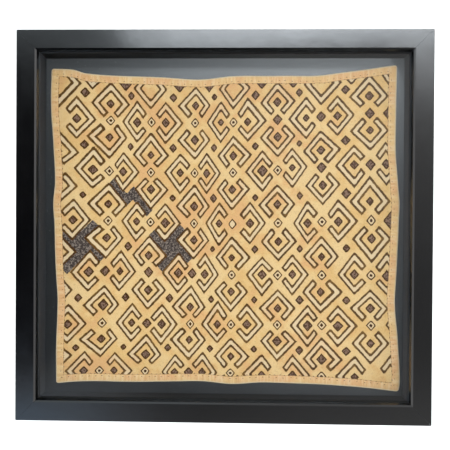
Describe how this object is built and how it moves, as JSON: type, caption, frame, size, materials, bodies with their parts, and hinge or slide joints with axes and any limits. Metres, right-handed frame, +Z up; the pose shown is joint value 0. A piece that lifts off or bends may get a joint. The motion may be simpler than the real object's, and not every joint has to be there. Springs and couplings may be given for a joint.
{
  "type": "kuba raffia cloth in a black shadow-box frame",
  "caption": "Cut-pile raffia cloth of interlaced lozenges, hemmed and sewn to a black board in a deep glazed black frame, for hanging on a wall.",
  "frame": {"origin": "centre of the mount board's back, level with the rails' backs, where the frame meets the wall", "axes": "+X along the frame's width, +Y into the wall, so the glazed front faces -Y, +Z up"},
  "size_m": [0.711, 0.046, 0.671],
  "materials": {
    "black_lacquer": "wood moulding lacquered satin black",
    "black_spacer": "matt black spacer strip",
    "glazing": "clear flat glass",
    "black_board": "matt black mount board",
    "raffia": "cut-pile and embroidered raffia, gold, cream and dark brown"
  },
  "bodies": {
    "root": {"rail_bottom": "black_lacquer", "rail_left": "black_lacquer", "rail_top": "black_lacquer", "rail_right": "black_lacquer", "spacer_bottom": "black_spacer", "spacer_left": "black_spacer", "spacer_top": "black_spacer", "spacer_right": "black_spacer", "glazing_pane": "glazing", "mount_board": "black_board", "kuba_cloth": "raffia"}
  },
  "joints": []
}
